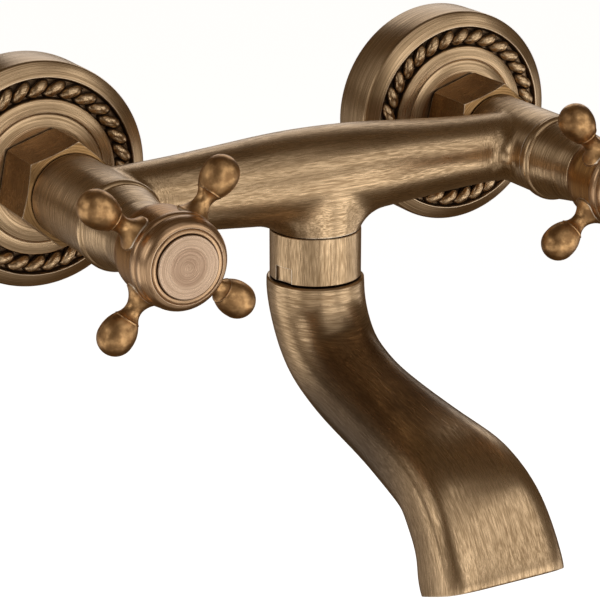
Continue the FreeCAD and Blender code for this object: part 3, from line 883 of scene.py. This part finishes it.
@dataclass
class Valve:
    """One side: nut, valve cover and cross handle."""

    frame: Frame
    side: str
    levers: int = 4
    nut_light: Colour = (0.42, 0.25, 0.105)
    nut_dark: Colour = (0.14, 0.07, 0.023)
    hub_light: Colour = (0.52, 0.275, 0.09)
    hub_dark: Colour = (0.24, 0.115, 0.04)
    hub_arc: float = 0.8
    rim_light: Colour = (0.62, 0.405, 0.235)
    rim_dark: Colour = (0.33, 0.20, 0.105)
    rim_behind_front: Span = (0.0085, 0.0075)
    button_light: Colour = (0.50, 0.345, 0.235)
    button_dark: Colour = (0.24, 0.145, 0.09)
    button_lines: float = 4200.0
    button_arc: float = 0.4
    button_ring: Band = Band(Across.RADIUS, 0.0052, 0.0058, (0.60, 0.43, 0.30),
                             (0.33, 0.22, 0.14))
    lever_light: Colour = (0.62, 0.37, 0.165)
    lever_dark: Colour = (0.19, 0.095, 0.036)
    lever_roughness: float = 0.34
    lever_relief: float = 0.07
    lever_recess: float = 0.006

    def build(self) -> None:
        """Dresses the pieces of this side."""
        centre = middle(f"{self.side}_flange")
        axis = Vector((centre.x, 0.0, centre.z))
        self.finish(["valve_sleeve"], "rings", axis)
        self.finish(["union_nut"], "nut", axis, light=self.nut_light, dark=self.nut_dark)
        front = -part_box(f"{self.side}_handle_hub")[0][1]
        start, end = self.rim_behind_front
        rim = Band(Across.FORWARD, -(front - start), -(front - end), self.rim_light,
                   self.rim_dark)
        self.finish(["handle_hub"], "hub", axis, light=self.hub_light, dark=self.hub_dark,
                    arc=self.hub_arc, band=rim)
        self.finish(["index_button"], "button", axis, light=self.button_light,
                    dark=self.button_dark, line_scale=self.button_lines,
                    arc=self.button_arc, band=self.button_ring)
        self.finish([f"lever_{number}" for number in range(1, self.levers + 1)], "levers",
                    axis, Brush.NONE, light=self.lever_light, dark=self.lever_dark,
                    roughness=self.lever_roughness, relief=self.lever_relief,
                    recess_reach=self.lever_recess)

    def finish(self, pieces: Iterable[str], name: str, axis: Vector,
               brush: Brush = Brush.ROUND_VALVE, **tones: object) -> None:
        """Dresses some pieces of this side in brass of their own.

        Args:
            pieces: names of the pieces, without their side.
            name: name of the finish.
            axis: point on the valve axis at the wall.
            brush: which way the brush ran.
            tones: what differs from the plain brushed brass.
        """
        brass = BrushedBrass(f"brass_{name}_{self.side}", brush, axis, **tones)
        dress(self.frame, [f"{self.side}_{piece}" for piece in pieces], brass.material())


@dataclass
class InnerPieces:
    """Everything that is hidden inside, in its own plain finish."""

    frame: Frame

    def build(self) -> None:
        """Dresses the inner pieces by the material slot that the record gives them."""
        finishes = {
            "plain_brass": PlainFinish("machined_brass", (0.62, 0.46, 0.22), 1.0, 0.28),
            "rubber": PlainFinish("black_rubber", (0.02, 0.02, 0.02), 0.0, 0.65),
            "ceramic": PlainFinish("white_ceramic", (0.85, 0.84, 0.80), 0.0, 0.15),
            "acetal": PlainFinish("dark_acetal", (0.05, 0.045, 0.04), 0.0, 0.45),
            "steel": PlainFinish("zinc_steel", (0.55, 0.55, 0.53), 1.0, 0.30),
        }
        made = {slot: finish.material() for slot, finish in finishes.items()}
        for entry in self.frame["record"]["subparts"]:
            if entry["material_slot"] in made:
                dress(self.frame, [entry["node"]], made[entry["material_slot"]])


# ---- studio -------------------------------------------------------------------------------
@dataclass(frozen=True)
class SoftBox:
    """A soft lamp aimed at the faucet from a bearing, a height and a distance.

    The bearing and the height are in degrees, the size and the distance in metres.
    """

    name: str
    bearing: float
    height: float
    brightness: float
    size: Span = (0.8, 0.75)
    distance: float = 1.4

    def build(self, target: Vector) -> None:
        """Hangs the lamp and turns it towards its target.

        Args:
            target: the point that it lights, in metres.
        """
        data = bpy.data.lights.new(self.name, "AREA")
        data.shape = "RECTANGLE"
        data.size, data.size_y = self.size
        data.energy = self.brightness * math.pi * self.size[0] * self.size[1]
        lamp = bpy.data.objects.new(self.name, data)
        bpy.context.scene.collection.objects.link(lamp)
        turn = (Matrix.Rotation(math.radians(self.bearing), 4, "Z")
                @ Matrix.Rotation(math.radians(90 - self.height), 4, "X"))
        lamp.matrix_world = (Matrix.Translation(target) @ turn
                             @ Matrix.Translation((0, 0, self.distance)))
        lamp.visible_camera = False


@dataclass
class Studio:
    """Pale floor, soft boxes, sky and camera.

    Lengths are in metres, but for the lens and sensor in millimetres. Angles are in
    degrees. The camera sees the sky in another colour than the metal mirrors.
    """

    target: Vector
    azimuth: float = -28.9
    elevation: float = 18.95
    eye: tuple[float, float, float] = (-0.3264, -0.6355, 0.1960)
    lens: float = 136.0
    sensor: float = 36.0
    sight: float = 50.0
    floor_height: float = -0.60
    floor_reach: float = 12.0
    floor_colour: Colour = (0.80, 0.80, 0.80)
    floor_roughness: float = 0.9
    floor_glow: float = 0.93
    sky_mirrored: Colour = (0.095, 0.062, 0.032)
    sky_seen: Colour = (0.98, 0.98, 0.98)
    boxes: tuple[SoftBox, ...] = (
        SoftBox("rear_left", -158, -20, 0.22), SoftBox("left_rear", -120, -20, 1.1),
        SoftBox("left", -80, -20, 1.1),
        SoftBox("left_front", -40, -15, 0.65, (0.8, 1.05)),
        SoftBox("front", 0, -15, 1.6, (0.8, 1.05)),
        SoftBox("right_front", 40, -15, 1.55, (0.8, 1.05)),
        SoftBox("right", 80, -20, 1.0),
        SoftBox("high_left_rear", -135, 22, 0.3, (0.9, 0.7)),
        SoftBox("high_left", -90, 22, 1.2, (0.9, 0.7)),
        SoftBox("high_front", 0, 26, 1.3, (0.9, 0.7)),
        SoftBox("high_right", 45, 26, 1.1, (0.9, 0.7)),
        SoftBox("high_right_rear", 145, 22, 0.95, (1.1, 0.9)),
        SoftBox("low_left", -85, -50, 0.25, (1.0, 0.6)),
        SoftBox("low_front", 0, -58, 0.36, (1.3, 0.8)),
        SoftBox("top_front", 0, 60, 0.5, (1.2, 0.8)))

    def floor(self) -> None:
        """Lays a wide pale floor."""
        shape = bmesh.new()
        bmesh.ops.create_grid(shape, x_segments=1, y_segments=1, size=self.floor_reach)
        bmesh.ops.translate(shape, verts=shape.verts, vec=(0, 0, self.floor_height))
        mesh = bpy.data.meshes.new("floor")
        shape.to_mesh(mesh)
        shape.free()
        floor = bpy.data.objects.new("floor", mesh)
        bpy.context.scene.collection.objects.link(floor)
        paint = Sheet("floor_paint")
        shader = paint.add("BsdfPrincipled")
        paint.join((*self.floor_colour, 1.0), shader.inputs["Base Color"])
        paint.join(self.floor_roughness, shader.inputs["Roughness"])
        paint.join((1.0, 1.0, 1.0, 1.0), shader.inputs["Emission Color"])
        paint.join(self.floor_glow, shader.inputs["Emission Strength"])
        paint.join(shader.outputs["BSDF"], paint.output.inputs["Surface"])
        mesh.materials.append(paint.material)
        floor.visible_glossy = False

    def lights(self) -> None:
        """Hangs the soft boxes and sets the sky."""
        for box in self.boxes:
            box.build(self.target)
        world = bpy.data.worlds.new("studio")
        world.use_nodes = True
        tree = world.node_tree
        back = tree.nodes["Background"]
        rays = tree.nodes.new("ShaderNodeLightPath")
        mix = tree.nodes.new("ShaderNodeMix")
        mix.data_type = "RGBA"
        colours = [socket for socket in mix.inputs if socket.type == "RGBA"]
        colours[0].default_value = (*self.sky_mirrored, 1.0)
        colours[1].default_value = (*self.sky_seen, 1.0)
        tree.links.new(rays.outputs["Is Camera Ray"], mix.inputs["Factor"])
        blended = next(socket for socket in mix.outputs if socket.type == "RGBA")
        tree.links.new(blended, back.inputs["Color"])
        bpy.context.scene.world = world

    def camera(self) -> None:
        """Sets up the camera."""
        data = bpy.data.cameras.new("camera")
        data.lens = self.lens
        data.sensor_width = self.sensor
        data.clip_end = self.sight
        camera = bpy.data.objects.new("camera", data)
        bpy.context.scene.collection.objects.link(camera)
        camera.location = self.eye
        camera.rotation_euler = (math.radians(90 - self.elevation), 0.0,
                                 math.radians(self.azimuth))
        bpy.context.scene.camera = camera

    def build(self) -> None:
        """Builds the whole studio."""
        self.floor()
        self.lights()
        self.camera()
        bpy.context.scene.view_settings.view_transform = "Standard"


def clear_scene() -> None:
    """Takes away whatever a new file starts with."""
    for thing in list(bpy.data.objects):
        bpy.data.objects.remove(thing)


def main() -> None:
    """Builds the faucet's looks and the studio, in order."""
    logging.basicConfig(level=logging.INFO, format="%(name)s: %(message)s")
    clear_scene()
    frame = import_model()
    for part in (Body(frame), Spout(frame), *(RopedFlange(side) for side in SIDES),
                 *(Valve(frame, side) for side in SIDES), InnerPieces(frame)):
        part.build()
        LOG.info("built %s", type(part).__name__)
    Studio(middle("body")).build()


if __name__ == "__main__":
    main()
